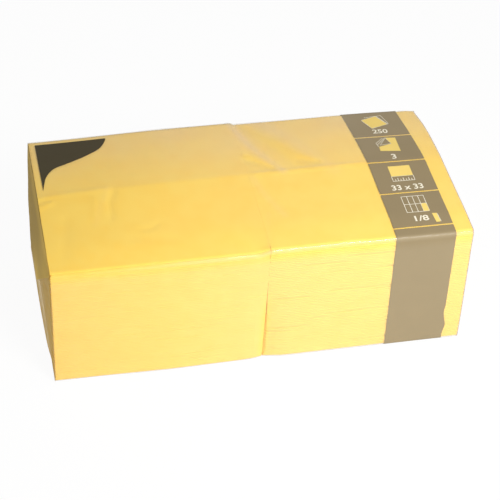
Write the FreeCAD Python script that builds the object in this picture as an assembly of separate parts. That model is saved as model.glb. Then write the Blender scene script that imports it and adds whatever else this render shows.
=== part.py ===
"""A pack of folded paper napkins: four columns of them in one wrapper of clear film.

Millimetres. +X runs along the pack, the front faces -Y and +Z is up.
The origin is the middle of the underside.
"""
import FreeCAD, Part

import math
import os

V = FreeCAD.Vector

# The napkin: a square sheet folded three times, so that an eighth of it shows
sheetSide = 330.0
foldedLength = sheetSide / 2
foldedWidth = sheetSide / 4
foldBevel = 0.34             # the pressed fold is bevelled by this share of the napkin's thickness
slotMouth = 0.16             # how far the two halves of the last fold stand apart at the open edge
slotShy = 1.6                # the slot ends this far inside the fold
halfStep = 1.4               # the upper half ends this much short of the lower one

# The columns: how many napkins each holds, and how thick one lies at its closed fold
frontCount = 63
backCount = 62
frontLeftThickness = 1.765
frontRightThickness = 1.808
backLeftThickness = 1.866
backRightThickness = 1.832
leftCrown = 2.2              # how far the middle of the pack stands above its higher long edge
rightCrown = 4.4
layerGap = 0.03              # air between one napkin and the next
rowGap = 1.9                 # between the front and the back columns
seamTop = 0.9                # between the left and the right columns, at the top
seamFoot = 3.2               # and at the foot, where they have splayed
rightSplay = 0.3             # share of that splay that the right columns take
setBack = 0.5                # most that one napkin lies behind the others
sidePlay = 0.15              # most that one napkin lies to the left or right of its place

# The film wrapper
film = 0.25
slip = 0.2                   # between the napkins and the film
leftSlack = 3.1              # the film stands this much further off the left columns' ends
topRound = 3.2               # the film's long edges, where the napkins give way to it
footRound = 2.0
creaseLeft = 5.1             # how far behind the middle the crease along the top lies
creaseRight = 11.2
seamRun = 9.0                # length over which the film changes from one height to the other
endBulge = 5.5               # how far the folded ends puff out
sealWidth = 54.0             # the flat strip in which the end flaps are sealed over each other
sealHeight = 12.0
sealLevel = 0.46             # how high that strip lies, as a share of the pack's height
flapShy = 1.2                # the outer flaps show from this far inside the ends' edges
flapOverlap = 1.5            # how far the upper and lower flaps reach over the side flaps
lapWidth = 24.0              # the film's two edges lap under the pack

packWidth = 2 * (rowGap / 2 + foldedWidth + slip + film)
packLength = 2 * (foldedLength + sidePlay + slip + film) + seamFoot + leftSlack
floorLevel = 2 * film + slip
seamRightFoot = packLength / 2 - film - slip - sidePlay - foldedLength
seamLeftFoot = seamRightFoot - seamFoot


def between(start, end, share):
    return start + (end - start) * share


def spread(index):
    """A number from 0 to 1 that differs from one layer to the next."""
    golden = (math.sqrt(5) - 1) / 2
    return (index * golden) % 1.0


def giveWay(depth, radius):
    """How far a round edge of that radius lies inside its square corner, at that depth below the corner."""
    rise = radius - min(depth, radius)
    return radius - math.sqrt(radius ** 2 - rise ** 2)


def columnHeight(count, thickness):
    """The top of a column at its closed folds, above the underside of the pack."""
    return floorLevel + count * thickness


frontLeftHeight = columnHeight(frontCount, frontLeftThickness)
frontRightHeight = columnHeight(frontCount, frontRightThickness)
backLeftHeight = columnHeight(backCount, backLeftThickness)
backRightHeight = columnHeight(backCount, backRightThickness)
leftRidge = max(frontLeftHeight, backLeftHeight) + leftCrown
rightRidge = max(frontRightHeight, backRightHeight) + rightCrown
leftEdge = min(frontLeftHeight, backLeftHeight)
rightEdge = min(frontRightHeight, backRightHeight)
crestRoom = 2 * max(leftRidge - leftEdge, rightRidge - rightEdge)


def napkin(lowFold, highFold, lowOpen, highOpen, start):
    """One folded napkin along +X. Its closed fold is at y = start and its open edges at y = foldedWidth.

    lowFold and highFold are its faces' levels at y = 0, and lowOpen and highOpen those at the open edges.
    """

    def low(y):
        return between(lowFold, lowOpen, y / foldedWidth)

    def high(y):
        return between(highFold, highOpen, y / foldedWidth)

    def middle(y):
        return (low(y) + high(y)) / 2

    bevel = foldBevel * (highFold - lowFold)
    shortEdge = foldedWidth - halfStep
    corners = [
        V(0, start + bevel, low(start + bevel)),
        V(0, start, low(start) + bevel),
        V(0, start, high(start) - bevel),
        V(0, start + bevel, high(start + bevel)),
        V(0, shortEdge, high(shortEdge)),
        V(0, shortEdge, middle(shortEdge) + slotMouth / 2),
        V(0, start + slotShy, middle(start + slotShy)),
        V(0, foldedWidth, middle(foldedWidth) - slotMouth / 2),
        V(0, foldedWidth, low(foldedWidth)),
    ]
    return Part.Face(Part.makePolygon(corners + corners[:1])).extrude(V(foldedLength, 0, 0))


def seamEdge(isRight, share):
    """Where the columns end beside the seam, at a share of their height."""
    splay = seamFoot - seamTop
    if isRight:
        return seamRightFoot - splay * rightSplay * share
    return seamLeftFoot + splay * (1 - rightSplay) * share


def column(count, height, ridge, isRight, isFront):
    """One column of napkins, all with their closed fold outwards."""
    napkins = []
    halfThick = (height - floorLevel) / count / 2
    topEdge = topRound - film - slip - halfThick
    footEdge = footRound - film - slip - halfThick
    for k in range(count):
        lowShare = k / count
        highShare = (k + 1) / count
        lowFold = between(floorLevel, height, lowShare)
        lowOpen = between(floorLevel, ridge, lowShare)
        highFold = between(floorLevel, height, highShare) - layerGap
        highOpen = between(floorLevel, ridge, highShare) - layerGap
        start = giveWay(height - highFold, max(topEdge, 0)) + giveWay(lowFold - floorLevel, max(footEdge, 0))
        layer = napkin(lowFold, highFold, lowOpen, highOpen, start)
        x = seamEdge(isRight, lowShare) + sidePlay * (2 * spread(7 * k + 3) - 1)
        if not isRight:
            x -= foldedLength
        layer.translate(V(x, -rowGap / 2 - foldedWidth + setBack * spread(k + 1), 0))
        if not isFront:
            layer = layer.mirror(V(0, 0, 0), V(0, 1, 0))
        napkins.append(layer)
    return Part.makeCompound(napkins)


def roundedCorner(corner, toward, away, radius):
    """The arc that rounds a corner between its two neighbours, from the side of the first to the second."""
    first = (toward - corner).normalize()
    second = (away - corner).normalize()
    half = first.getAngle(second) / 2
    centre = corner + (first + second).normalize() * (radius / math.sin(half))
    reach = radius / math.tan(half)
    middle = centre + (corner - centre).normalize() * radius
    return corner + first * reach, middle, corner + second * reach


def outlineAt(x, halfWidth, foot, front, back, crest, crestY, footRadius, topRadius):
    """A section of the wrapper across the pack: flat foot, upright sides, two slopes up to a crest."""
    corners = [
        (V(x, halfWidth, foot), footRadius),
        (V(x, -halfWidth, foot), footRadius),
        (V(x, -halfWidth, front), topRadius),
        (V(x, crestY, crest), 0),
        (V(x, halfWidth, back), topRadius),
    ]
    stations = []
    for i, (corner, radius) in enumerate(corners):
        if radius == 0:
            stations.append((corner, None, corner))
            continue
        before = corners[i - 1][0]
        after = corners[(i + 1) % len(corners)][0]
        stations.append(roundedCorner(corner, before, after, radius))
    edges = []
    for i, (start, middle, end) in enumerate(stations):
        if middle is not None:
            edges.append(Part.Arc(start, middle, end).toShape())
        edges.append(Part.LineSegment(end, stations[(i + 1) % len(stations)][0]).toShape())
    return Part.Wire(edges)


def packOutline(x, front, back, ridge, inset):
    """The film's section over columns of these heights, drawn in by an inset all round.

    The front slope runs from the front edge over the columns' ridge and on to the crease behind it.
    """
    halfWidth = packWidth / 2
    cover = slip + film
    crestY = between(creaseLeft, creaseRight, x / packLength + 0.5)
    frontRise = (ridge - front) / halfWidth
    crest = ridge + cover + frontRise * crestY
    backRise = (crest - back - cover) / (halfWidth - crestY)
    frontInset = inset * (math.sqrt(1 + frontRise ** 2) - frontRise)
    backInset = inset * (math.sqrt(1 + backRise ** 2) - backRise)
    return outlineAt(
        x,
        halfWidth - inset,
        film + inset,
        front + cover - frontInset,
        back + cover - backInset,
        crest - inset * math.sqrt(1 + frontRise ** 2),
        crestY,
        footRound - inset,
        topRound - inset,
    )


def silhouette(points, inset, height):
    """The prism over a closed polygon drawn in by an inset, with its height along a vector."""
    outline = Part.makePolygon(points + points[:1])
    if inset:
        outline = outline.makeOffset2D(-inset, join=2)
    return Part.Face(outline).extrude(height)


def endsFromFront(inset):
    """The pack seen from the front: each end slopes out from its edges to the seal strip."""
    level = sealLevel * min(leftRidge, rightRidge)
    low = level - sealHeight / 2
    high = level + sealHeight / 2
    foot = packLength / 2
    reach = foot + endBulge
    points = []
    for side, top in [(-1, leftEdge), (1, rightEdge)]:
        flapSlope = endBulge / (top - high)
        above = top + crestRoom
        ends = [
            V(side * foot, -packWidth, film),
            V(side * reach, -packWidth, low),
            V(side * reach, -packWidth, high),
            V(side * (foot - flapSlope * crestRoom), -packWidth, above),
        ]
        points += ends if side < 0 else ends[::-1]
    return silhouette(points, inset, V(0, 2 * packWidth, 0))


def endsFromAbove(inset):
    """The pack seen from above: each end slopes out from its upright edges to the seal strip."""
    foot = packLength / 2
    reach = foot + endBulge
    flapSlope = endBulge / (packWidth - sealWidth) * 2
    beside = packWidth / 2 + crestRoom
    points = []
    for side in (-1, 1):
        ends = [
            V(side * (foot - flapSlope * crestRoom), -beside, 0),
            V(side * reach, -sealWidth / 2, 0),
            V(side * reach, sealWidth / 2, 0),
            V(side * (foot - flapSlope * crestRoom), beside, 0),
        ]
        points += ends if side < 0 else ends[::-1]
    return silhouette(points, inset, V(0, 0, 2 * packWidth))


def filmBody(inset):
    """The space inside the film, its faces drawn in by an inset from the film's outside."""
    left = (frontLeftHeight, backLeftHeight, leftRidge)
    right = (frontRightHeight, backRightHeight, rightRidge)
    higher = [max(pair) for pair in zip(left, right)]
    reach = packLength / 2 + endBulge + crestRoom
    leftEnd = seamEdge(False, 1) + sidePlay
    rightEnd = seamEdge(True, 1) - sidePlay
    sections = [
        packOutline(-reach, *left, inset),
        packOutline(leftEnd - seamRun, *left, inset),
        packOutline(leftEnd, *higher, inset),
        packOutline(rightEnd, *higher, inset),
        packOutline(rightEnd + seamRun, *right, inset),
        packOutline(reach, *right, inset),
    ]
    body = Part.makeLoft(sections, True, True)
    return body.common(endsFromFront(inset)).common(endsFromAbove(inset))


def prismAlongX(points, start, end):
    """The prism over a polygon of (y, z) points, from one x to another."""
    corners = [V(start, y, z) for y, z in points]
    return Part.Face(Part.makePolygon(corners + corners[:1])).extrude(V(end - start, 0, 0))


def endLayers(body, side, edge):
    """The outer layers of film on one end: the upper and lower flaps, and the strip where they lie doubled."""
    level = sealLevel * min(leftRidge, rightRidge)
    halfSeal = sealHeight / 2
    inner = sealWidth / 2 + flapOverlap
    outer = packWidth / 2 - flapShy
    top = edge - flapShy
    bottom = film + flapShy
    base = packLength / 2 - endBulge
    far = packLength / 2 + 2 * endBulge
    upper = [(-outer, top), (outer, top), (inner, level), (-inner, level)]
    lower = [(-outer, bottom), (outer, bottom), (inner, level), (-inner, level)]
    strip = [(-inner, level - halfSeal), (inner, level - halfSeal),
             (inner, level + halfSeal), (-inner, level + halfSeal)]
    layers = []
    for points, depth in [(upper, 1), (lower, 1), (strip, 2)]:
        moved = body.copy()
        moved.translate(V(side * depth * film, 0, 0))
        layers.append(moved.common(prismAlongX(points, side * base, side * far)))
    return layers


def wrapper():
    """The film all round the columns, with its folded ends and the lap along the underside."""
    outside = filmBody(0)
    lapLength = packLength - 2 * flapShy
    lap = Part.makeBox(lapLength, lapWidth, 2 * film, V(-lapLength / 2, -lapWidth / 2, 0))
    layers = endLayers(outside, -1, leftEdge) + endLayers(outside, 1, rightEdge)
    return outside.multiFuse(layers + [lap]).cut(filmBody(film)).removeSplitter()


os.makedirs("parts", exist_ok=True)
subParts = {
    "napkins_front_left": column(frontCount, frontLeftHeight, leftRidge, False, True),
    "napkins_front_right": column(frontCount, frontRightHeight, rightRidge, True, True),
    "napkins_back_left": column(backCount, backLeftHeight, leftRidge, False, False),
    "napkins_back_right": column(backCount, backRightHeight, rightRidge, True, False),
    "wrapper": wrapper(),
}
for name, shape in subParts.items():
    box = shape.optimalBoundingBox(False)
    size = f"{box.XLength:.2f} x {box.YLength:.2f} x {box.ZLength:.2f} mm"
    print(name, len(shape.Solids), "solids", "valid" if shape.isValid() else "not valid", size)
    shape.exportStep(f"parts/{name}.step")
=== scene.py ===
import math
import random

import bmesh
import bpy
from mathutils import Matrix, Vector, noise


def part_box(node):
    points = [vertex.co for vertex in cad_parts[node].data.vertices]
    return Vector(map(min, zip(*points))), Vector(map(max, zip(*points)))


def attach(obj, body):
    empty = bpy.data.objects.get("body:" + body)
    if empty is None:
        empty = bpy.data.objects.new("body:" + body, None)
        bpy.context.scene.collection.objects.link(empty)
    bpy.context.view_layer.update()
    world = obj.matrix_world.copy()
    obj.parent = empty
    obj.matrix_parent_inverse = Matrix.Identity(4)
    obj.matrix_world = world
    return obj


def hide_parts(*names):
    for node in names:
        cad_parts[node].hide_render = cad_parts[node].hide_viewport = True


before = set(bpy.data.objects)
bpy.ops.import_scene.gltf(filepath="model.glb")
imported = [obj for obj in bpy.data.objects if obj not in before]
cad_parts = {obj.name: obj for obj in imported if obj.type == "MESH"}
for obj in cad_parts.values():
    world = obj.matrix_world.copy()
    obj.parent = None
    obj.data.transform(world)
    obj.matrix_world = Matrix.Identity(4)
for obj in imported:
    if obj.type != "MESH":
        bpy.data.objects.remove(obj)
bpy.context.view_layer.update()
mm = 0.001
packLow, packHigh = [Vector(corner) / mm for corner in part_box("wrapper")]


# small helpers, all lengths in millimetres until a mesh is finished

def ramp(value, start, end):
    share = min(max((value - start) / (end - start), 0.0), 1.0)
    return share * share * (3 - 2 * share)


def between(start, end, share):
    return start + (end - start) * share


def hump(value, centre, width):
    return math.exp(-(((value - centre) / width) ** 2))


def toLinear(hexColour):
    levels = [int(hexColour[i:i + 2], 16) / 255 for i in (1, 3, 5)]
    return [v / 12.92 if v <= 0.04045 else ((v + 0.055) / 1.055) ** 2.4 for v in levels] + [1.0]


def finishPiece(bm, name, materials, smooth=True):
    # scales the millimetre mesh to metres and leaves its object at the origin
    bmesh.ops.scale(bm, vec=(mm, mm, mm), verts=bm.verts)
    mesh = bpy.data.meshes.new(name)
    bm.to_mesh(mesh)
    bm.free()
    piece = bpy.data.objects.new(name, mesh)
    bpy.context.scene.collection.objects.link(piece)
    for material in materials:
        mesh.materials.append(material)
    if smooth:
        mesh.polygons.foreach_set("use_smooth", [True] * len(mesh.polygons))
    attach(piece, "root")
    return piece


# camera, at the photograph's place

camera = {
    "azimuth": -13.72,       # degrees, from straight in front towards the left end
    "elevation": 40.31,
    "roll": 3.17,
    "target": (19.4, 51.7, 0.0),
    "distance": 1412.9,
    "lens": 114.55,
}


def placeCamera():
    az, el, roll = [math.radians(camera[key]) for key in ("azimuth", "elevation", "roll")]
    back = Vector((math.sin(az) * math.cos(el), -math.cos(az) * math.cos(el), math.sin(el)))
    right = (-back).cross(Vector((0, 0, 1))).normalized()
    up = back.cross(right)
    turned = math.cos(roll) * right + math.sin(roll) * up
    upright = math.cos(roll) * up - math.sin(roll) * right
    place = (Vector(camera["target"]) + back * camera["distance"]) * mm
    axes = Matrix((turned, upright, back)).transposed().to_4x4()
    data = bpy.data.cameras.new("camera")
    data.lens = camera["lens"]
    data.sensor_width = 36
    data.clip_start = 0.05
    viewer = bpy.data.objects.new("camera", data)
    bpy.context.scene.collection.objects.link(viewer)
    viewer.matrix_world = Matrix.Translation(place) @ axes
    bpy.context.scene.camera = viewer


placeCamera()
print("camera placed")


# the pack's form: heights of the film over the columns, as the photograph shows them

pack = {
    "halfLength": packHigh.x - 6.0,      # to the edges of the folded ends
    "halfWidth": packHigh.y,
    "sideHeight": 112.0,                 # where the sides go over into the long edges
    "edgeRound": 2.8,
    "edgeStrip": 3.0,                    # along the long edges, where the steps at the seam stay sharp
    "frontLeft": 112.3,                  # height of the long edges over each column
    "frontRight": 115.0,
    "frontSag": 0.8,                     # how much lower the front edge runs further right
    "backLeft": 116.0,
    "backLeftMiddle": 118.6,
    "backRight": 116.9,
    "backRightEnd": 115.6,
    "ridgeLeft": 118.9,
    "ridgeMiddle": 120.6,
    "ridgeRight": 118.8,
    "creaseLeft": 5.1,                   # how far behind the middle the crease runs
    "creaseRight": 11.2,
    "slopePuff": 0.25,                   # how far each slope swells
    "frontPuff": 0.8,                    # and the front one once more, behind its edge
    "cornerSag": 1.3,                    # the back right corner lies lower
    "cornerDraw": -2.4,                  # and is drawn in
    "seam": 3.6,                         # where the left and the right columns meet
    "seamFoot": 1.1,
    "endBulge": 5.5,                     # how far the ends' seals stand out
    "sealHalfWidth": 27.0,
    "sealHalfHeight": 6.0,
    "sealLevel": 54.0,
}
belly = {
    # how far the sides stand out low down, mm
    "left": 1.3,
    "leftMiddle": 1.5,                   # more, at the middle of the left columns
    "right": 1.9,
    "seam": 2.0,                         # less, where the columns meet
    "always": 0.15,                      # at every height
}


def frontEdge(x, inward=0.0):
    # the step between the columns is sharp at the long edge and melts away further in
    step = ramp(x, pack["seam"] - 10 - 1.6 * inward, pack["seam"] + 1 + 0.5 * inward)
    sag = pack["frontSag"] * ramp(x, 60, 100)
    return between(pack["frontLeft"], pack["frontRight"], step) - sag


def backEdge(x, inward=0.0):
    left = between(pack["backLeft"], pack["backLeftMiddle"], ramp(x, -pack["halfLength"], -40))
    right = between(pack["backRight"], pack["backRightEnd"], ramp(x, 90, pack["halfLength"]))
    step = ramp(x, pack["seam"] - 1 - 0.3 * inward, pack["seam"] + 2.5 + 1.2 * inward)
    return between(left, right, step)


def ridgeHeight(x):
    left = between(pack["ridgeLeft"], pack["ridgeMiddle"], ramp(x, -pack["halfLength"], -60))
    return between(left, pack["ridgeRight"], ramp(x, 60, pack["halfLength"]))


def creaseAt(x):
    return between(pack["creaseLeft"], pack["creaseRight"], x / pack["halfLength"] / 2 + 0.5)


def roofAt(x, y):
    # two gentle slopes that meet along the crease, each a little puffed
    half = pack["halfWidth"]
    rim = pack["edgeStrip"]
    crease = creaseAt(x)
    ridge = ridgeHeight(x)
    if y < crease:
        share = (y + half) / (crease + half)
        height = between(frontEdge(x, max(y + half - rim, 0)), ridge, share)
        height += pack["frontPuff"] * hump(y + half, 26, 20)
    else:
        share = (half - y) / (half - crease)
        height = between(backEdge(x, max(half - rim - y, 0)), ridge, share)
    share = min(max(share, 0.0), 1.0)
    height -= pack["cornerSag"] * ramp(x, 158, pack["halfLength"]) * ramp(y, 60, half)
    return height + pack["slopePuff"] * math.sin(math.pi * share)


def footBulge(x):
    # the columns belly out low down, and draw in where they meet
    left = belly["left"] + belly["leftMiddle"] * hump(x, -70, 60)
    bulge = between(left, belly["right"], ramp(x, -10, 14))
    return bulge - belly["seam"] * hump(x, pack["seam"], 8.0)


def sideBulge(x, z):
    return footBulge(x) * (1 - ramp(z, 10, pack["sideHeight"])) + belly["always"]


def endDraw(x, y):
    # the film's end draws the back right corner in
    return pack["cornerDraw"] * ramp(y, 35, 84) ** 1.5 * ramp(x, 150, pack["halfLength"])


def lineDistance(x, y, points):
    # how far a place on the top lies from a line of points
    nearest = math.inf
    for (ax, ay), (bx, by) in zip(points, points[1:]):
        length = (bx - ax) ** 2 + (by - ay) ** 2
        share = min(max(((x - ax) * (bx - ax) + (y - ay) * (by - ay)) / length, 0.0), 1.0)
        nearest = min(nearest, math.hypot(x - between(ax, bx, share), y - between(ay, by, share)))
    return nearest


dents = [
    # (line, depth, width): where film and paper are pressed in, or raised if the depth is below zero
    ([(-107.5, 5.0), (-113.0, -10.0), (-113.0, -26.0)], 0.5, 3.0),
    ([(-168.0, 2.7), (-153.6, 5.6), (-113.2, 7.6)], -0.4, 1.8),
    ([(-168.5, -7.5), (-157.4, -2.7)], -0.7, 1.8),
    ([(-124.5, -4.0), (-127.0, -24.0)], -0.25, 3.0),
    ([(-93.5, -43.5), (-85.0, -44.0), (-78.5, -39.0)], 0.35, 2.0),
    ([(-150.0, -24.0), (-155.0, -62.0)], 0.35, 5.0),
    ([(-100.0, -52.0), (-70.0, -58.0)], 0.25, 5.0),
    ([(9.0, 6.6), (60.0, 7.6), (100.0, 8.4)], -0.4, 1.8),
    ([(10.0, 26.0), (24.0, 15.0)], 0.5, 4.0),
    ([(50.0, 22.0), (63.0, 17.0)], 0.45, 4.0),
]


def denting(x, y):
    return -sum(depth * hump(lineDistance(x, y, line), 0, width) for line, depth, width in dents)


# napkins: four columns of folded sheets, each sheet its own closed form

napkins = {
    # nose: mm, how deep the closed fold is rounded, less where the column is pressed harder
    "napkins_front_left": {"count": 63, "side": -1, "row": -1, "seed": 3, "nose": 0.12},
    "napkins_front_right": {"count": 63, "side": 1, "row": -1, "seed": 11, "nose": 0.45},
    "napkins_back_left": {"count": 62, "side": -1, "row": 1, "seed": 23, "nose": 0.2},
    "napkins_back_right": {"count": 62, "side": 1, "row": 1, "seed": 37, "nose": 0.45},
}
columns = {
    "reach": 168.5,         # the columns' outer ends, close to the end film
    "pitch": 1.8,           # from one napkin to the next
    "floor": 0.7,
    "underFilm": 0.32,      # between the top napkin and the film
    "air": 0.02,            # between two napkins, and from a column's end to the seam
    "rowGap": 1.9,          # between the front and the back columns
    "closing": 12.0,        # how deep from the top they are pressed together
    "closedGap": 0.01,      # half of what is left between them there
    "cutWidth": 3.2,        # the right columns' corner is cut aslant at the foot of the seam
    "cutDepth": 2.6,
    "cutHeight": 80.0,
    "nick": 0.2,            # how far the seam opens at the upper edge, on each side
    "frontFill": 0.7,       # how far the highest napkins follow the film's rounded long edge in front
    "fill": 0.45,           # and the others at the back and at the foot
    "looseLeft": 0.35,      # the left columns are pressed harder and lie more evenly
    "looseRight": 1.0,
    "setBack": 0.1,
    "back": 0.3,            # the most that a whole napkin lies back
    "shy": 0.8,             # and, in patches, some of them
    "shyShare": 0.4,
    "play": 0.15,           # along the pack
    "puff": 0.04,
    "longWave": 0.3,
    "shortWave": 0.16,
    "evenAt": 0.85,         # how much of the looseness is gone beside the right end
    "unevenDepth": 30.0,    # how far in from the closed folds the unevenness reaches
}
fold = {
    "width": 82.5,
    "slot": 0.07,           # half the mouth between the two halves, as a share of a napkin
    "slotShy": 2.9,         # where the slot stops, short of the closed fold
    "halfStep": 1.4,        # how far back the upper half's open edge lies
    "stations": 22,         # along the napkin
    "endStep": 0.15,        # a narrow station at each end
    "middles": (2.6, 14.0, 45.0, 72.0, 77.0),     # rows across, the first where the aslant cut ends
    "sharp": 50,            # degrees, edges that stay crisp
}
topFold = {
    # finer, because the film's dents show in the top napkins
    "halfStep": 0.0,
    "stations": 82,
    "middles": [2.6 * k for k in range(1, 31)] + [80.4, 82.35],
}


def foldedProfile(bm, shape):
    # the last fold seen from its end: x runs from the closed fold to the open edges, z from 0 to 1
    nose = shape["nose"]
    width = fold["width"]
    short = width - shape["halfStep"]
    slot = fold["slot"]
    corners = [(nose, 0.0), (nose * 0.3, 0.1), (0.0, 0.34), (0.0, 0.66), (nose * 0.3, 0.9), (nose, 1.0)]
    corners += [(u, 1.0) for u in shape["middles"]] + [(short, 1.0), (short, 0.5 + slot)]
    corners += [(fold["slotShy"], 0.5), (width, 0.5 - slot), (width, 0.0)]
    corners += [(u, 0.0) for u in reversed(shape["middles"])]
    verts = [bm.verts.new((0.0, u, w)) for u, w in corners]
    bm.faces.new(verts)
    # the part beside the closed fold is a face of its own, because the seam's cut turns it
    cutLine = [vert for vert in verts if abs(vert.co.y - columns["cutDepth"]) < 0.01]
    bmesh.ops.connect_verts(bm, verts=cutLine)
    return bm.faces[:]


def stationSteps(count):
    # even steps along a napkin, with a small one at each end that keeps the end crisp
    close = fold["endStep"] / columns["reach"]
    return [close] + [(1 - 2 * close) / count] * count + [close]


def foldedNapkin(shape):
    # one napkin as a mesh with x and z from 0 to 1, extruded station by station
    bm = bmesh.new()
    faces = foldedProfile(bm, shape)
    atStart = True
    for step in stationSteps(shape["stations"]):
        grown = bmesh.ops.extrude_face_region(bm, geom=faces, use_keep_orig=atStart)
        faces = [item for item in grown["geom"] if isinstance(item, bmesh.types.BMFace)]
        verts = [item for item in grown["geom"] if isinstance(item, bmesh.types.BMVert)]
        bmesh.ops.translate(bm, verts=verts, vec=(step, 0, 0))
        atStart = False
    bmesh.ops.recalc_face_normals(bm, faces=bm.faces)
    bm.normal_update()
    for face in bm.faces:
        face.smooth = abs(face.normal.x) < 0.5
    for edge in bm.edges:
        edge.smooth = edge.calc_face_angle(0) < math.radians(fold["sharp"])
    mesh = bpy.data.meshes.new("foldedNapkin")
    bm.to_mesh(mesh)
    bm.free()
    return mesh


def columnEnd(side, z, depth):
    # where a column ends beside the seam, which opens in front, low down and at the upper edge
    share = min(max(z / pack["sideHeight"], 0.0), 1.0)
    cut = 0.0
    if side > 0:
        slant = max(1 - depth / columns["cutDepth"], 0)
        cut = columns["cutWidth"] * max(1 - z / columns["cutHeight"], 0) * ramp(z, -4, 8) * slant
    nick = columns["nick"] * ramp(z, 97, 109) * (1 - ramp(depth, 0, 6))
    return between(pack["seamFoot"], pack["seam"], share) + side * (columns["air"] + cut + nick)


def cornerTuck(depth, fill):
    # how far a napkin lies back under the rounding of the film's long edges
    bend = pack["edgeRound"]
    if depth >= bend:
        return 0.0
    return (bend - math.sqrt(bend ** 2 - (bend - depth) ** 2)) * fill


def foldWaves(x, k, seed):
    # waves along one napkin's closed fold, and the patches where a loose one lies back
    wave = noise.noise(Vector((x * 0.017, k * 0.21, seed))) * columns["longWave"]
    wave += noise.noise(Vector((x * 0.06, k * 0.77, seed + 5))) * columns["shortWave"]
    patch = ramp(noise.noise(Vector((x * 0.022, k * 3.7, seed + 9))), 0.0, 0.3)
    return wave, patch


def layColumn(settings, pattern, topPattern):
    bm = bmesh.new()
    rng = random.Random(settings["seed"])
    count, side, row = settings["count"], settings["side"], settings["row"]
    loose = columns["looseRight"] if side > 0 else columns["looseLeft"]
    topFill = columns["frontFill"] if row < 0 else columns["fill"]
    floor, air, width = columns["floor"], columns["air"], fold["width"]
    for k in range(count):
        first = len(bm.verts)
        bm.from_mesh(topPattern if k == count - 1 else pattern)
        bm.verts.ensure_lookup_table()
        depth = (count - 1 - k) * columns["pitch"]
        closed = ramp(depth, columns["closing"], 0)
        tuck = cornerTuck(depth, topFill) + cornerTuck(k * columns["pitch"], columns["fill"])
        back = loose * rng.uniform(0.0, columns["back"])
        shy = columns["shy"] * loose if rng.random() < columns["shyShare"] else 0.0
        play = rng.uniform(-columns["play"], columns["play"]) * (1 - closed)
        puff = rng.uniform(-columns["puff"], columns["puff"])
        for i in range(first, len(bm.verts)):
            vert = bm.verts[i]
            along, u, w = vert.co
            share = between(k / count, (k + 1) / count, w)
            level = pack["sideHeight"] * share
            end = columnEnd(side, level, u)
            x = between(end, side * columns["reach"], along if side > 0 else 1 - along) + play
            x += endDraw(x, row * (width - u))
            near = max(1 - u / columns["unevenDepth"], 0)
            wave, patch = foldWaves(x, k, settings["seed"])
            calm = 1 - columns["evenAt"] * ramp(x, 140, 156)
            inward = u + ((back + shy * patch) * calm + tuck + columns["setBack"] + wave) * near
            y = columns["rowGap"] / 2 + width - inward
            y -= (columns["rowGap"] / 2 - columns["closedGap"]) * closed * u / width
            y += sideBulge(x, level) * near
            roof = roofAt(x, row * min(y, pack["halfWidth"]))
            top = roof + denting(x, row * y) - columns["underFilm"]
            z = floor + (top - floor - air) * share
            z -= air * w
            z += puff * near * (0.5 - abs(w - 0.5))
            vert.co = (x, row * y, z)
    if row > 0:
        bmesh.ops.reverse_faces(bm, faces=bm.faces)
    return bm


# materials

def addNode(tree, kind, settings=None, links=None):
    # adds a node, sets its sockets and properties, and links other nodes' sockets into it
    node = tree.nodes.new(kind)
    for key, value in (settings or {}).items():
        if isinstance(key, int) or key in node.inputs:
            node.inputs[key].default_value = value
        else:
            setattr(node, key, value)
    for key, socket in (links or {}).items():
        tree.links.new(socket, node.inputs[key])
    return node


def newMaterial(name):
    material = bpy.data.materials.new(name)
    material.use_nodes = True
    material.node_tree.nodes.clear()
    output = material.node_tree.nodes.new("ShaderNodeOutputMaterial")
    return material, material.node_tree, output


def rampStops(node, stops):
    scale = node.color_ramp
    while len(scale.elements) < len(stops):
        scale.elements.new(0.5)
    for element, (position, colour) in zip(scale.elements, stops):
        element.position = position
        element.color = colour


tissue = {
    "colour": "#f8d15b",
    "deep": "#f8cd53",
    "fibre": 0.35,          # mm, length of the crepe's little waves
    "mottle": 14.0,         # mm, softer patches where the pulp lies thicker
    "roughness": 0.92,
}


def tissuePaper():
    # dyed three-ply tissue, creped on the roll: matt, fine crepe, soft patches
    material, tree, output = newMaterial("dyed crepe tissue")
    coords = addNode(tree, "ShaderNodeTexCoord").outputs["Object"]
    patches = addNode(tree, "ShaderNodeTexNoise", {"Scale": 1 / (tissue["mottle"] * mm), "Detail": 3.0},
                      {"Vector": coords})
    mix = addNode(tree, "ShaderNodeValToRGB", links={"Fac": patches.outputs["Fac"]})
    rampStops(mix, [(0.3, toLinear(tissue["deep"])), (0.62, toLinear(tissue["colour"]))])
    stretch = addNode(tree, "ShaderNodeMapping", {"Scale": (0.4, 1.0, 1.0)}, {"Vector": coords})
    crepe = addNode(tree, "ShaderNodeTexNoise", {"Scale": 1 / (tissue["fibre"] * mm), "Detail": 4.0},
                    {"Vector": stretch.outputs["Vector"]})
    bump = addNode(tree, "ShaderNodeBump", {"Strength": 0.1, "Distance": 0.06 * mm},
                   {"Height": crepe.outputs["Fac"]})
    skin = addNode(tree, "ShaderNodeBsdfPrincipled",
                   {"Roughness": tissue["roughness"], "Sheen Weight": 0.15, "Sheen Roughness": 0.6,
                    "Specular IOR Level": 0.2},
                   {"Base Color": mix.outputs["Color"], "Normal": bump.outputs["Normal"]})
    tree.links.new(skin.outputs["BSDF"], output.inputs["Surface"])
    return material


film = {
    "hazeAndPaintedSheen": 0.005,          # share of the light that the clear film scatters
    "hazeAndPaintedSheenColour": "#eee6d4",
    "inkHaze": 0.3,         # how much of it lies over the print
    "tintAndPaintedLightColour": "#ffd872",   # paler colour for the ends: painted light where they would catch more light, and yellower where one layer lies over the napkins
    "gloss": 0.1,           # roughness
    "ior": 1.5,
    "inkCloud": 22.0,       # mm, patches where the ink lies thicker
    "crumple": 9.0,         # mm
    "layerCrumple": 16.0,   # mm
    "layerCover": 0.72,     # how much of what lies behind the layers they hide
    "layerColour": "#f3c04a",
    "layerDeep": "#e6b246",
    "layerPale": "#f6cd66",
}


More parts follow.
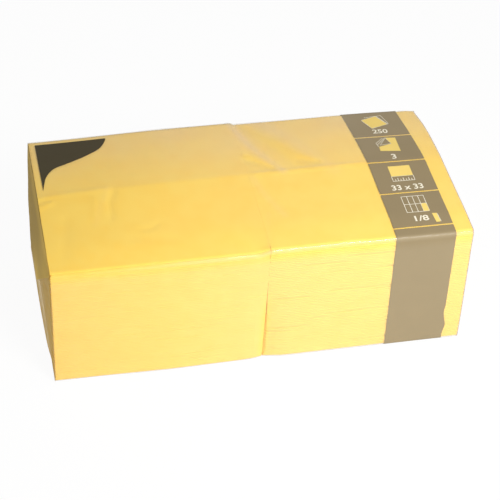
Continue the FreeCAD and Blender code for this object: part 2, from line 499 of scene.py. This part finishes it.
def steadyFresnel(tree, bump):
    # the same mirror share from outside and from inside, so the light comes through both ways
    inside = addNode(tree, "ShaderNodeNewGeometry").outputs["Backfacing"]
    bending = addNode(tree, "ShaderNodeMapRange", {"To Min": film["ior"], "To Max": 1 / film["ior"]},
                      {"Value": inside})
    return addNode(tree, "ShaderNodeFresnel",
                   links={"IOR": bending.outputs["Result"], "Normal": bump.outputs["Normal"]})


def clearFilm():
    # thin cast polypropylene: see-through and glossy, with a milky layer set per vertex that is partly
    # the film's haze and partly painted reflections and highlights
    material, tree, output = newMaterial("clear polypropylene film")
    coords = addNode(tree, "ShaderNodeTexCoord").outputs["Object"]
    waves = addNode(tree, "ShaderNodeTexNoise", {"Scale": 1 / (film["crumple"] * mm), "Detail": 2.0},
                    {"Vector": coords})
    bump = addNode(tree, "ShaderNodeBump", {"Strength": 0.2, "Distance": 0.5 * mm},
                   {"Height": waves.outputs["Fac"]})
    clear = addNode(tree, "ShaderNodeBsdfTransparent", {"Color": (0.995, 0.995, 0.99, 1.0)})
    gloss = addNode(tree, "ShaderNodeBsdfGlossy", {"Roughness": film["gloss"]},
                    {"Normal": bump.outputs["Normal"]})
    milkAndPaintedSheen = addNode(tree, "ShaderNodeBsdfDiffuse", {"Color": toLinear(film["hazeAndPaintedSheenColour"])})
    rough = addNode(tree, "ShaderNodeAttribute", {"attribute_name": "dull"})
    keep = addNode(tree, "ShaderNodeMapRange", {"To Min": 1.0, "To Max": 0.0},
                   {"Value": rough.outputs["Fac"]})
    mirror = addNode(tree, "ShaderNodeMath", {"operation": "MULTIPLY"},
                     {0: steadyFresnel(tree, bump).outputs[0], 1: keep.outputs["Result"]})
    hazeAndSheenAmount = addNode(tree, "ShaderNodeAttribute", {"attribute_name": "hazeAndPaintedSheen"})
    hazeAndPaintedSheen = addNode(tree, "ShaderNodeMath", {"operation": "ADD", 1: film["hazeAndPaintedSheen"], "use_clamp": True},
                   {0: hazeAndSheenAmount.outputs["Fac"]})
    scattered = addNode(tree, "ShaderNodeMixShader", links={
        0: hazeAndPaintedSheen.outputs[0], 1: clear.outputs[0], 2: milkAndPaintedSheen.outputs[0]})
    skin = addNode(tree, "ShaderNodeMixShader", links={
        0: mirror.outputs[0], 1: scattered.outputs[0], 2: gloss.outputs[0]})
    tree.links.new(skin.outputs[0], output.inputs["Surface"])
    return material


def printedFilm(name, colour, gloss):
    # gravure ink on the film: even colour under the film's own gloss
    material, tree, output = newMaterial(name)
    coords = addNode(tree, "ShaderNodeTexCoord").outputs["Object"]
    cloud = addNode(tree, "ShaderNodeTexNoise", {"Scale": 1 / (film["inkCloud"] * mm), "Detail": 4.0},
                    {"Vector": coords})
    tone = addNode(tree, "ShaderNodeHueSaturation", {"Color": toLinear(colour)})
    shift = addNode(tree, "ShaderNodeMapRange", {"To Min": 0.94, "To Max": 1.05},
                    {"Value": cloud.outputs["Fac"]})
    tree.links.new(shift.outputs["Result"], tone.inputs["Value"])
    # the milk over the ink, partly painted reflection
    hazeAndSheenAmount = addNode(tree, "ShaderNodeAttribute", {"attribute_name": "hazeAndPaintedSheen"})
    hazeAndPaintedLight = addNode(tree, "ShaderNodeMath", {"operation": "MULTIPLY", 1: film["inkHaze"]},
                   {0: hazeAndSheenAmount.outputs["Fac"]})
    veiledWithPaintedLight = addNode(tree, "ShaderNodeMixRGB", {"Color2": toLinear(film["hazeAndPaintedSheenColour"])},
                     {"Fac": hazeAndPaintedLight.outputs[0], "Color1": tone.outputs["Color"]})
    # painted light: on the ends the ink is lightened towards a paler colour where they would catch more
    # light
    tintAndPaintedLight = addNode(tree, "ShaderNodeAttribute", {"attribute_name": "tintAndPaintedLight"})
    lightened = addNode(tree, "ShaderNodeMixRGB", {"Color2": toLinear(film["tintAndPaintedLightColour"])},
                        {"Fac": tintAndPaintedLight.outputs["Fac"], "Color1": veiledWithPaintedLight.outputs["Color"]})
    waves = addNode(tree, "ShaderNodeTexNoise", {"Scale": 1 / (film["crumple"] * mm), "Detail": 2.0},
                    {"Vector": coords})
    bump = addNode(tree, "ShaderNodeBump", {"Strength": 0.2, "Distance": 0.4 * mm},
                   {"Height": waves.outputs["Fac"]})
    skin = addNode(tree, "ShaderNodeBsdfPrincipled",
                   {"Roughness": 0.6, "IOR": film["ior"], "Coat Weight": gloss, "Coat Roughness": 0.12,
                    "Specular IOR Level": gloss},
                   {"Base Color": lightened.outputs["Color"], "Normal": bump.outputs["Normal"]})
    tree.links.new(skin.outputs["BSDF"], output.inputs["Surface"])
    return material


def layeredFilm():
    # the ends: film folded over in several layers and crumpled, so it goes milky and takes the
    # napkins' colour, with glossy creases
    material, tree, output = newMaterial("layered polypropylene film")
    coords = addNode(tree, "ShaderNodeTexCoord").outputs["Object"]
    folds = addNode(tree, "ShaderNodeTexNoise", {"Scale": 1 / (film["layerCrumple"] * mm), "Detail": 5.0,
                                                 "Distortion": 1.2}, {"Vector": coords})
    tone = addNode(tree, "ShaderNodeValToRGB", links={"Fac": folds.outputs["Fac"]})
    rampStops(tone, [(0.3, toLinear(film["layerDeep"])), (0.5, toLinear(film["layerColour"])),
                     (0.72, toLinear(film["layerPale"]))])
    bump = addNode(tree, "ShaderNodeBump", {"Strength": 0.5, "Distance": 1.2 * mm},
                   {"Height": folds.outputs["Fac"]})
    # painted light: the layers are lightened towards a paler colour where the end would catch more
    # light, and yellowed where one layer lies over the napkins
    tintAndPaintedLight = addNode(tree, "ShaderNodeAttribute", {"attribute_name": "tintAndPaintedLight"})
    lightened = addNode(tree, "ShaderNodeMixRGB", {"Color2": toLinear(film["tintAndPaintedLightColour"])},
                        {"Fac": tintAndPaintedLight.outputs["Fac"], "Color1": tone.outputs["Color"]})
    clear = addNode(tree, "ShaderNodeBsdfTransparent", {"Color": (0.97, 0.96, 0.9, 1.0)})
    skin = addNode(tree, "ShaderNodeBsdfPrincipled",
                   {"Roughness": 0.4, "IOR": film["ior"], "Specular IOR Level": 0.08},
                   {"Base Color": lightened.outputs["Color"], "Normal": bump.outputs["Normal"]})
    mix = addNode(tree, "ShaderNodeMixShader", {0: film["layerCover"]},
                  {1: clear.outputs[0], 2: skin.outputs[0]})
    tree.links.new(mix.outputs[0], output.inputs["Surface"])
    return material


tissueMaterial = tissuePaper()
filmMaterial = clearFilm()
layersMaterial = layeredFilm()
bandMaterial = printedFilm("taupe gravure ink on film", "#8b7b5c", 0.13)
darkMaterial = printedFilm("dark gravure ink on film", "#382f14", 0.15)
whiteMaterial = printedFilm("white ink on film", "#e6dec8", 0.2)
windowMaterial = printedFilm("napkin colour in the print", "#e9cb6f", 0.2)
flapMaterial = printedFilm("taupe ink on the folded end", "#cdad5d", 0.02)
print("materials made")

for nodeName, settings in napkins.items():
    napkinMesh = foldedNapkin({**fold, "nose": settings["nose"]})
    topMesh = foldedNapkin({**topFold, "nose": settings["nose"]})
    column = layColumn(settings, napkinMesh, topMesh)
    piece = finishPiece(column, nodeName + "_folded", [tissueMaterial], smooth=False)
    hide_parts(nodeName)
    bpy.data.meshes.remove(napkinMesh)
    bpy.data.meshes.remove(topMesh)
print("napkins laid")


# wrapper: one closed skin of film, shaped over the columns

wrap = {
    "height": 118.0,         # of the plain tube that the skin is shaped from
    "roundSteps": 6,
    "step": 2.2,             # grid spacing, mm
    "floor": 0.25,
    "lapHalf": 12.0,         # half the lap seal along the underside
    "lapStep": 0.25,
    "flank": 24.0,           # how far in from the sides the skin takes up their bulge
    "ripple": 0.5,           # of the sides
    "sway": 0.25,            # of the top
    "creaseLift": 0.25,      # the small ridge along the crease
    "creaseWidth": 1.1,
    "ringSteps": 26,         # from an end's edges to its seal
    "flapStep": 0.45,        # how far the outer flaps stand out over the side flaps
    "endPuff": 0.4,
    "endCrumple": 0.55,
    "endDull": 0.9,
    "sealStep": 0.3,
}
skins = {"film": 0, "band": 1, "layers": 2, "flap": 3}      # places in the wrapper's list of materials
hazeAndPaintedLight = {
    # how milky the film is, and how much is added towards the right; most of it is painted reflection
    # and highlight
    "behind": 0.15,          # painted reflection on the back slope, rising to its edge
    # painted reflection stepping up just behind the crease
    "crease": 0.04,
    "creaseRight": 0.01,
    # a painted highlight along the crease
    "creaseLine": 0.07,
    # over the front: milk, painted paler towards the right
    "front": 0.085,
    "frontRight": 0.06,
    "frontClear": 0.8,       # gone again at the foot of the seam
    "rim": 0.04,             # painted highlight just below the front edge
    "rimRight": 0.16,
    # the top painted paler towards the right end
    "endRight": 0.012,
    "end": 0.1,
}
band = {
    "left": 105.0,
    "right": 154.3,
    "dividers": (-73.3, -32.0, 7.8, 44.7),
    "dividerHalf": 0.65,
    "skew": -4.4,            # the print runs aslant towards the back edge
}
creases = [
    # (line, height, width, haze): wrinkles in the film, milkier or clearer than the film round them; the
    # milk along them is mostly painted reflection, like the whitish band from the back of the seam
    ([(0.9, 84.0), (13.0, 45.6), (27.9, 15.6), (33.0, 7.5)], 0.0, 3.6, 0.15),
    ([(14.0, 74.0), (24.0, 60.0), (38.0, 42.0), (50.0, 20.0)], 0.0, 7.5, -0.12),
    ([(7.0, 31.0), (15.0, 21.0), (25.0, 13.5)], 0.0, 4.0, -0.12),
    ([(52.0, 22.0), (63.0, 16.5)], 0.0, 4.5, -0.12),
    ([(30.0, 80.0), (52.0, 47.0), (75.0, 4.0)], 0.0, 7.0, 0.05),
    ([(6.0, 2.0), (12.0, -20.0), (22.5, -46.0)], 0.1, 3.0, 0.05),
    ([(10.4, -41.0), (5.0, -66.0), (2.3, -84.0)], -0.1, 0.9, 0.03),
    ([(-113.0, 6.0), (-119.7, -12.0), (-127.0, -34.0)], 0.3, 2.4, 0.03),
    ([(-142.0, -30.0), (-146.0, -58.0)], 0.3, 4.0, 0.0),
]


def creasing(x, y):
    # height and haze that the film's creases add at a place on the top; the haze is mostly painted
    # reflection, with a painted highlight along the crease line
    lift = denting(x, y)
    hazeAndPaintedSheen = 0.0
    for line, height, width, milkAndPaintedSheen in creases:
        near = hump(lineDistance(x, y, line), 0, width)
        lift += height * near
        hazeAndPaintedSheen += milkAndPaintedSheen * near
    ridgeLine = hump(y, creaseAt(x), wrap["creaseWidth"]) * (0.35 + 0.65 * ramp(x, -30, 25))
    ridgeLine *= 1 - ramp(x, 95, 150)
    lift += wrap["creaseLift"] * ridgeLine
    lift += wrap["sway"] * noise.noise(Vector((x * 0.03, y * 0.05, 4.2)))
    return lift, hazeAndPaintedSheen + hazeAndPaintedLight["creaseLine"] * ridgeLine


def filmTop(x, y):
    return roofAt(x, y) + creasing(x, y)[0]


def bandSkew(x, y):
    reach = ramp(x, 80, band["left"]) * (1 - ramp(x, band["right"], pack["halfLength"]))
    return band["skew"] * max(y / pack["halfWidth"], 0) ** 1.5 * reach


def bandWave(x, y, z):
    # the print's right edge wavers low down in front
    return (1.8 * hump(z, 16, 6) - 0.8 * hump(z, 31, 5)) * ramp(-y, 80, 83) * hump(x, band["right"], 4)


def parallelEdges(bm, axis, low, high):
    # the edges along one axis that lie inside a stretch of it
    chosen = []
    for edge in bm.edges:
        a, b = edge.verts[0].co, edge.verts[1].co
        across = sum(abs(a[i] - b[i]) for i in range(3) if i != axis)
        if across < 1e-4 and min(a[axis], b[axis]) > low - 1e-3 and max(a[axis], b[axis]) < high + 1e-3:
            chosen.append(edge)
    return chosen


def splitStretches(bm, axis, marks):
    # even rows between the marks, with a row on every mark
    normal = [0, 0, 0]
    normal[axis] = 1
    for mark in marks[1:-1]:
        place = [0, 0, 0]
        place[axis] = mark
        bmesh.ops.bisect_plane(bm, geom=bm.verts[:] + bm.edges[:] + bm.faces[:], dist=1e-5,
                               plane_co=place, plane_no=normal)
    for low, high in zip(marks, marks[1:]):
        cuts = round((high - low) / wrap["step"]) - 1
        if cuts > 0:
            bmesh.ops.subdivide_edges(bm, edges=parallelEdges(bm, axis, low, high), cuts=cuts,
                                      use_grid_fill=True)


def roundedTube(length, width, height):
    # the film round the pack: a box open at both ends, its long edges rounded
    bm = bmesh.new()
    bmesh.ops.create_cube(bm, size=1.0)
    bmesh.ops.scale(bm, vec=(length, width, height), verts=bm.verts)
    bmesh.ops.translate(bm, vec=(0, 0, height / 2), verts=bm.verts)
    ends = [face for face in bm.faces if abs(face.normal.x) > 0.5]
    bmesh.ops.delete(bm, geom=ends, context="FACES_ONLY")
    longEdges = [edge for edge in bm.edges if abs(edge.verts[0].co.x - edge.verts[1].co.x) > 1]
    bmesh.ops.bevel(bm, geom=longEdges, offset=pack["edgeRound"], segments=wrap["roundSteps"],
                    profile=0.5, affect="EDGES", material=-1)
    return bm


def markPrint(bm, height):
    # the printed band's faces, with clear lines left between its fields on the top
    for face in bm.faces:
        centre = face.calc_center_median()
        inBand = band["left"] < centre.x < band["right"]
        onTop = centre.z > height - 0.1
        onDivider = onTop and any(abs(centre.y - y) < band["dividerHalf"] for y in band["dividers"])
        face.material_index = skins["band"] if inBand and not onDivider else skins["film"]


def bodyHazeAndPaintedLight(x, y, z, hazeAndSheenAmount):
    # milkier over the back slope, a painted reflection; over the pressed front, painted paler towards
    # the right; where the film is creased; with a painted highlight just below the front edge and the
    # top painted paler towards the right end
    inFrontOnly = ramp(-y, 80, 83)
    onTop = ramp(z, 100, pack["sideHeight"])
    mottle = 1 + 0.5 * noise.noise(Vector((x * 0.03, y * 0.035, 8.8)))
    step = (hazeAndPaintedLight["crease"] + hazeAndPaintedLight["creaseRight"] * ramp(x, -80, 40)) * (1 - ramp(x, 95, 150))
    behind = hazeAndPaintedLight["behind"] * ramp(y, 0, 84) * mottle + step * ramp(y - creaseAt(x), -1, 2.5)
    inFront = (hazeAndPaintedLight["front"] + hazeAndPaintedLight["frontRight"] * ramp(x, -100, 20)) * inFrontOnly
    seam = between(pack["seamFoot"], pack["seam"], z / pack["sideHeight"])
    inFront *= 1 - hazeAndPaintedLight["frontClear"] * hump(x, seam, 3) * (1 - ramp(z, 40, 80))
    # painted highlight just below the front edge
    rim = (hazeAndPaintedLight["rim"] + hazeAndPaintedLight["rimRight"] * ramp(x, -150, -20)) * hump(z - frontEdge(x), -1.4, 1.7)
    rim *= inFrontOnly
    spread = hazeAndPaintedLight["endRight"] * ramp(x, 60, 150)
    return max(onTop * (behind + spread + hazeAndSheenAmount) + (1 - onTop) * inFront + rim, 0)


def bodyDull(x, y, z):
    # where the film lies flat on the paper it mirrors less: the left top, and along the long edges
    leftTop = 0.75 * ramp(z, 100, pack["sideHeight"]) * ramp(-x, -30, 140)
    frontRim = hump(z - frontEdge(x), -0.5, 3) * ramp(-y, 78, 82)
    backRim = ramp(y, 79, 82)
    return max(leftTop, (0.6 + 0.32 * ramp(-x, -5, 40)) * frontRim, 0.9 * backRim)


def shapeTube(bm, height):
    hazeAndPaintedSheen = bm.verts.layers.float.new("hazeAndPaintedSheen")
    dull = bm.verts.layers.float.new("dull")
    bm.verts.layers.float.new("tintAndPaintedLight")
    half = pack["halfWidth"]
    for vert in bm.verts:
        x, y, z = vert.co
        side = 1 if y > 0 else -1
        lift, hazeAndSheenAmount = creasing(x, y)
        top = roofAt(x, y) + lift
        newZ = z / height * top
        if abs(y) < wrap["lapHalf"] and z < 0.1:
            newZ -= wrap["lapStep"]
        near = ramp(abs(y), half - wrap["flank"], half)
        endCalm = 1 - ramp(abs(x), pack["halfLength"] - 14, pack["halfLength"])
        ripple = noise.noise(Vector((x * 0.02, side * 9 + newZ * 0.02, 1.7))) * wrap["ripple"]
        newY = y + side * near * (sideBulge(x, newZ) + ripple * endCalm)
        vert[hazeAndPaintedSheen] = bodyHazeAndPaintedLight(x, y, newZ, hazeAndSheenAmount)
        vert[dull] = bodyDull(x, y, newZ)
        shift = bandSkew(x, y) + endDraw(x, y) + bandWave(x, y, newZ)
        vert.co = (x + shift, newY, newZ + wrap["floor"])


def endFlap(rimZ):
    # 1 on the outer flaps, which fold in from the top and the bottom, 0 on the side ones
    overTop = ramp(rimZ, 101, 106)
    underneath = ramp(rimZ, 3.5, 1.0)
    return max(overTop, underneath)


def crumples(side, y, z, outer):
    # loose film over the end: broad dents on the outer flaps, sharper ones on the side flaps
    place = Vector((side * 5.0, y * 0.035, z * 0.035))
    broad = noise.noise(place) * 1.1
    sharp = 0.0
    for octave in (1, 2.3):
        field = noise.noise(place * 3.2 * octave + Vector((7, 0, 0)))
        sharp += (0.5 - abs(field)) * 1.3 / octave
    return broad + between(sharp, 0.25 * sharp, outer)


def endTintAndPaintedLight(y, z):
    # painted light on the end: paler towards the front, where the light falls, with random patches, and
    # a painted highlight by the seal; yellower along the top, where one layer lies over the napkins'
    # ends
    patchy = 0.25 * noise.noise(Vector((3.3, y * 0.07, z * 0.07)))
    front = ramp(-y, 0, 80) * (0.75 - 0.45 * ramp(-z, -45, -10))
    paintedSealHighlight = 0.8 * hump(y, -20, 20) * hump(z, 60, 17)
    return max(front + paintedSealHighlight + 0.6 * ramp(z, 102, 116) + patchy * front, 0)


def endSkin(face, side, wide, tall):
    # the upper flap of the left end is printed
    level = pack["sealLevel"]
    lowest = min(vert.co.z for vert in face.verts)
    inside = min(abs(vert.co.y) for vert in face.verts) < wide * pack["halfWidth"] - 0.3 * wide
    onUpper = lowest > level and inside and endFlap(level + (lowest - level) / tall) > 0.9
    return skins["flap"] if onUpper and side < 0 else skins["layers"]


def closeEnd(bm, side):
    # rings from the end's edges in to the seal, where the upper and the lower flap meet
    half = pack["halfLength"]
    level = pack["sealLevel"]
    widthShare = pack["sealHalfWidth"] / pack["halfWidth"]
    heightShare = 2 * pack["sealHalfHeight"] / frontEdge(0)
    hazeAndPaintedSheen, dull, tintAndPaintedLight = [bm.verts.layers.float[name] for name in ("hazeAndPaintedSheen", "dull", "tintAndPaintedLight")]
    loop = [edge for edge in bm.edges if edge.is_boundary and edge.verts[0].co.x * side > 0]
    wideBefore, tallBefore = 1.0, 1.0
    for step in range(1, wrap["ringSteps"] + 1):
        grown = bmesh.ops.extrude_edge_only(bm, edges=loop)
        verts = [item for item in grown["geom"] if isinstance(item, bmesh.types.BMVert)]
        fresh = set(verts)
        loop = [item for item in grown["geom"] if isinstance(item, bmesh.types.BMEdge)
                and item.verts[0] in fresh and item.verts[1] in fresh]
        t = step / wrap["ringSteps"]
        wide = between(1.0, widthShare, t)
        tall = between(1.0, heightShare, t)
        for vert in verts:
            _, y, z = vert.co
            y *= wide / wideBefore
            z = level + (z - level) * tall / tallBefore
            outer = endFlap(level + (z - level) / tall)
            away = math.sin(math.pi * min(t * 1.1, 1.0)) ** 0.5
            x = half + pack["endBulge"] * t + wrap["endPuff"] * math.sin(math.pi * t)
            x += endDraw(half, side * y) * (1 - ramp(t, 0.1, 0.8))
            x += outer * wrap["flapStep"] * ramp(t, 0, 0.2)
            x += wrap["endCrumple"] * away * crumples(side, y, z, outer)
            vert.co = (side * x, y, z)
            vert[hazeAndPaintedSheen] = hazeAndPaintedLight["end"] * (1 - outer) * abs(crumples(side, y, z, 0))
            # painted light on the end, with some yellower tint along the top
            vert[tintAndPaintedLight] = endTintAndPaintedLight(y, z)
            vert[dull] = wrap["endDull"]
        for face in grown["geom"]:
            if isinstance(face, bmesh.types.BMFace):
                face.material_index = endSkin(face, side, wide, tall)
        wideBefore, tallBefore = wide, tall
    sealDown = bmesh.ops.extrude_edge_only(bm, edges=loop)
    verts = [item for item in sealDown["geom"] if isinstance(item, bmesh.types.BMVert)]
    for vert in verts:
        vert.co = (side * (half + pack["endBulge"] + wrap["sealStep"]), vert.co.y, level)
    bmesh.ops.remove_doubles(bm, verts=verts, dist=0.01)


def marksBetween(values, reach):
    return [-reach] + sorted(values) + [reach]


def makeWrapper():
    height = wrap["height"]
    bm = roundedTube(2 * pack["halfLength"], 2 * pack["halfWidth"], height)
    flat = pack["halfWidth"] - pack["edgeRound"]
    lines = [y + edge for y in band["dividers"] for edge in (-band["dividerHalf"], band["dividerHalf"])]
    lines += [-wrap["lapHalf"], wrap["lapHalf"]]
    splitStretches(bm, 0, marksBetween([band["left"], band["right"]], pack["halfLength"]))
    splitStretches(bm, 1, marksBetween(lines, flat))
    splitStretches(bm, 2, [pack["edgeRound"], height - pack["edgeRound"]])
    markPrint(bm, height)
    shapeTube(bm, height)
    for side in (-1, 1):
        closeEnd(bm, side)
    bmesh.ops.recalc_face_normals(bm, faces=bm.faces)
    return bm


wrapper = finishPiece(makeWrapper(), "film_wrapper",
                      [filmMaterial, bandMaterial, layersMaterial, flapMaterial])
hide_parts("wrapper")
print("film wrapped")


# print on the film: each sign is a flat shape laid on the film, its places read in the photograph

sign = {
    "lift": 0.12,           # over the film
    "grid": 2.2,
    "line": 0.5,            # the lines' widths
    "fine": 0.45,
    "thin": 0.4,
}


def polygon(bm, points):
    verts = [bm.verts.new((x, y, 0.0)) for x, y in points]
    return bm.faces.new(verts)


def strip(bm, start, end, width):
    # a line of the print as a thin quad
    a, b = Vector(start), Vector(end)
    across = (b - a).orthogonal().normalized() * width / 2
    polygon(bm, [a + across, b + across, b - across, a - across])


def outline(bm, points, width):
    for start, end in zip(points, points[1:] + points[:1]):
        strip(bm, start, end, width)


def layOnFilm(bm, name, material):
    # cuts the flat shape to the film's grid and lets it follow the film
    xs = [vert.co.x for vert in bm.verts]
    ys = [vert.co.y for vert in bm.verts]
    for axis, values in ((0, xs), (1, ys)):
        place = math.floor(min(values) / sign["grid"]) * sign["grid"]
        while place < max(values):
            at = [0, 0, 0]
            at[axis] = place
            normal = [0, 0, 0]
            normal[axis] = 1
            bmesh.ops.bisect_plane(bm, geom=bm.verts[:] + bm.edges[:] + bm.faces[:], dist=1e-4,
                                   plane_co=at, plane_no=normal)
            place += sign["grid"]
    for vert in bm.verts:
        x, y, _ = vert.co
        before = x - bandSkew(x, y)
        vert.co.z = filmTop(before, y) + wrap["floor"] + sign["lift"]
    for face in bm.faces:
        if face.normal.z < 0:
            face.normal_flip()
    return finishPiece(bm, name, [material])


def throughPoints(points, count):
    # a smooth curve through the points, with so many steps between two of them
    places = [Vector(points[0])]
    last = len(points) - 1
    for i in range(last):
        p0, p1, p2, p3 = [Vector(points[min(max(i + k, 0), last)]) for k in (-1, 0, 1, 2)]
        for step in range(1, count + 1):
            t = step / count
            places.append(0.5 * (2 * p1 + (p2 - p0) * t + (2 * p0 - 5 * p1 + 4 * p2 - p3) * t * t
                                 + (3 * p1 - p0 - 3 * p2 + p3) * t ** 3))
    return places


def cornerPatch():
    # dark field in the back left corner, left bare
    bm = bmesh.new()
    curve = [(-162.9, 12.0), (-161.3, 21.0), (-158.4, 31.0), (-151.3, 40.6), (-138.3, 47.0),
             (-125.1, 53.6), (-112.0, 62.2), (-105.8, 72.0), (-104.4, 77.0)]
    polygon(bm, throughPoints(curve, 4) + [Vector((-163.4, 77.2))])
    return layOnFilm(bm, "print_corner_patch", darkMaterial)


def numerals(text, name, centre, width, height, turn):
    # upright figures in the built-in face, stretched to the size of the printed ones
    curve = bpy.data.curves.new(name, "FONT")
    curve.body = text
    curve.align_x = "CENTER"
    curve.align_y = "CENTER"
    curve.offset = 0.02
    text3d = bpy.data.objects.new(name, curve)
    bpy.context.scene.collection.objects.link(text3d)
    bpy.context.view_layer.update()
    mesh = bpy.data.meshes.new_from_object(text3d)
    bpy.data.objects.remove(text3d)
    bpy.data.curves.remove(curve)
    bm = bmesh.new()
    bm.from_mesh(mesh)
    bpy.data.meshes.remove(mesh)
    xs = [vert.co.x for vert in bm.verts]
    ys = [vert.co.y for vert in bm.verts]
    stretch = (width / (max(xs) - min(xs)), height / (max(ys) - min(ys)))
    middle = ((max(xs) + min(xs)) / 2, (max(ys) + min(ys)) / 2)
    slant = math.radians(turn)
    for vert in bm.verts:
        x = (vert.co.x - middle[0]) * stretch[0]
        y = (vert.co.y - middle[1]) * stretch[1]
        vert.co = (centre[0] + x * math.cos(slant) - y * math.sin(slant),
                   centre[1] + x * math.sin(slant) + y * math.cos(slant), 0)
    return layOnFilm(bm, name, whiteMaterial)


def countSign():
    fill = bmesh.new()
    diamond = [(116.1, 71.2), (130.1, 75.8), (137.0, 62.7), (122.2, 57.6)]
    polygon(fill, diamond)
    layOnFilm(fill, "sign_count_fill", windowMaterial)
    lines = bmesh.new()
    outline(lines, diamond, sign["line"])
    behind = [(119.5, 74.6), (134.7, 76.6), (138.2, 63.8), (137.0, 62.7)]
    for start, end in zip(behind, behind[1:]):
        strip(lines, start, end, sign["fine"])
    strip(lines, (130.6, 76.0), (137.4, 63.2), sign["thin"])
    layOnFilm(lines, "sign_count_lines", whiteMaterial)


def foldSign():
    fill = bmesh.new()
    polygon(fill, [(129.4, 42.3), (138.0, 41.6), (137.3, 21.6), (120.3, 23.6), (120.6, 29.6),
                   (132.2, 33.2)])
    layOnFilm(fill, "sign_ply_fill", windowMaterial)
    lines = bmesh.new()
    strip(lines, (119.3, 35.0), (126.6, 41.8), sign["fine"])
    strip(lines, (120.0, 32.6), (127.9, 41.4), sign["fine"])
    strip(lines, (119.3, 35.0), (120.4, 29.8), sign["fine"])
    outline(lines, [(129.4, 42.3), (122.2, 32.0), (132.2, 33.2)], sign["thin"])
    layOnFilm(lines, "sign_ply_lines", whiteMaterial)


def sizeSign():
    left, right = 120.2, 138.7
    fill = bmesh.new()
    polygon(fill, [(left, 1.7), (right, 1.7), (right, -10.9), (left, -10.9)])
    layOnFilm(fill, "sign_size_fill", windowMaterial)
    lines = bmesh.new()
    outline(lines, [(left, -10.9), (right, -10.9), (right, -17.0), (left, -17.0)], sign["line"])
    for k in range(1, 8):
        x = between(left, right, k / 8)
        strip(lines, (x, -17.0), (x, -14.6 if k % 2 else -13.2), sign["line"])
    layOnFilm(lines, "sign_size_lines", whiteMaterial)


def gridSign():
    left, right, top, bottom = 120.9, 139.6, -37.0, -56.5
    middle = (top + bottom) / 2
    fill = bmesh.new()
    start = between(left, right, 0.75)
    polygon(fill, [(start, middle), (right, middle), (right, bottom), (start, bottom)])
    polygon(fill, [(140.5, -59.6), (144.3, -60.0), (145.0, -70.0), (141.4, -70.0)])
    layOnFilm(fill, "sign_fold_fill", windowMaterial)
    lines = bmesh.new()
    for k in range(5):
        x = between(left, right, k / 4)
        strip(lines, (x, top), (x, bottom), sign["line"])
    for y in (top, middle, bottom):
        strip(lines, (left, y), (right, y), sign["line"])
    strip(lines, (144.6, -60.4), (145.4, -69.7), sign["fine"])
    layOnFilm(lines, "sign_fold_lines", whiteMaterial)


cornerPatch()
countSign()
foldSign()
sizeSign()
gridSign()
numerals("250", "figures_count", (127.7, 52.5), 13.1, 6.0, -2)
numerals("3", "figures_plies", (129.3, 14.7), 4.0, 7.0, 0)
numerals("33 x 33", "figures_size", (129.9, -25.2), 26.6, 6.5, 0)
numerals("1/8", "figures_fold", (130.8, -64.2), 11.6, 6.2, 0)
print("print laid on")


# floor, surroundings and light

studio = {
    "floor": "#f6f6f4",
    "floorReach": 4.0,       # m
    "ambient": 0.3,
    "whiteness": 0.95,       # how far the floor is white paper lit from behind
    "keyPlace": (0.30, -0.82, 0.81),      # m
    "keyAim": (0.10, -0.04, 0.08),
    "keySize": 0.45,
    "keySpread": 90,         # degrees
    "keyPower": 3.9,
}


def seenDirectly(tree):
    # 1 where the camera, a reflection or a see-through piece shows the surroundings
    path = tree.nodes.new("ShaderNodeLightPath")
    seen = addNode(tree, "ShaderNodeMath", {"operation": "MAXIMUM"},
                   {0: path.outputs["Is Camera Ray"], 1: path.outputs["Is Glossy Ray"]})
    return addNode(tree, "ShaderNodeMath", {"operation": "MAXIMUM"},
                   {0: seen.outputs[0], 1: path.outputs["Is Transmission Ray"]})


def makeFloor():
    mesh = bpy.data.meshes.new("floor")
    reach = studio["floorReach"]
    mesh.from_pydata([(-reach, -reach, 0), (reach, -reach, 0), (reach, reach, 0), (-reach, reach, 0)],
                     [], [(0, 1, 2, 3)])
    floor = bpy.data.objects.new("floor", mesh)
    bpy.context.scene.collection.objects.link(floor)
    material, tree, output = newMaterial("white studio paper")
    lit = addNode(tree, "ShaderNodeBsdfDiffuse", {"Color": toLinear(studio["floor"])})
    white = addNode(tree, "ShaderNodeEmission", {"Color": (1, 1, 1, 1), "Strength": 1.0})
    seen = seenDirectly(tree)
    share = addNode(tree, "ShaderNodeMath", {"operation": "MULTIPLY", 1: studio["whiteness"]},
                    {0: seen.outputs[0]})
    skin = addNode(tree, "ShaderNodeMixShader",
                   links={0: share.outputs[0], 1: lit.outputs[0], 2: white.outputs[0]})
    tree.links.new(skin.outputs[0], output.inputs["Surface"])
    mesh.materials.append(material)


def lightStudio():
    world = bpy.data.worlds.new("studio")
    bpy.context.scene.world = world
    world.use_nodes = True
    tree = world.node_tree
    tree.nodes.clear()
    output = tree.nodes.new("ShaderNodeOutputWorld")
    ambient = addNode(tree, "ShaderNodeBackground",
                      {"Color": (1, 1, 1, 1), "Strength": studio["ambient"]})
    white = addNode(tree, "ShaderNodeBackground", {"Color": (1, 1, 1, 1), "Strength": 1.0})
    seen = seenDirectly(tree)
    mix = addNode(tree, "ShaderNodeMixShader",
                  links={0: seen.outputs[0], 1: ambient.outputs[0], 2: white.outputs[0]})
    tree.links.new(mix.outputs[0], output.inputs["Surface"])
    key = bpy.data.lights.new("key", "AREA")
    key.shape = "DISK"
    key.size = studio["keySize"]
    key.energy = studio["keyPower"]
    key.spread = math.radians(studio["keySpread"])
    lamp = bpy.data.objects.new("key", key)
    bpy.context.scene.collection.objects.link(lamp)
    place = Vector(studio["keyPlace"])
    aim = (place - Vector(studio["keyAim"])).to_track_quat("Z", "Y")
    lamp.matrix_world = Matrix.Translation(place) @ aim.to_matrix().to_4x4()


makeFloor()
lightStudio()
bpy.context.scene.view_settings.view_transform = "Standard"
print("floor and light set")
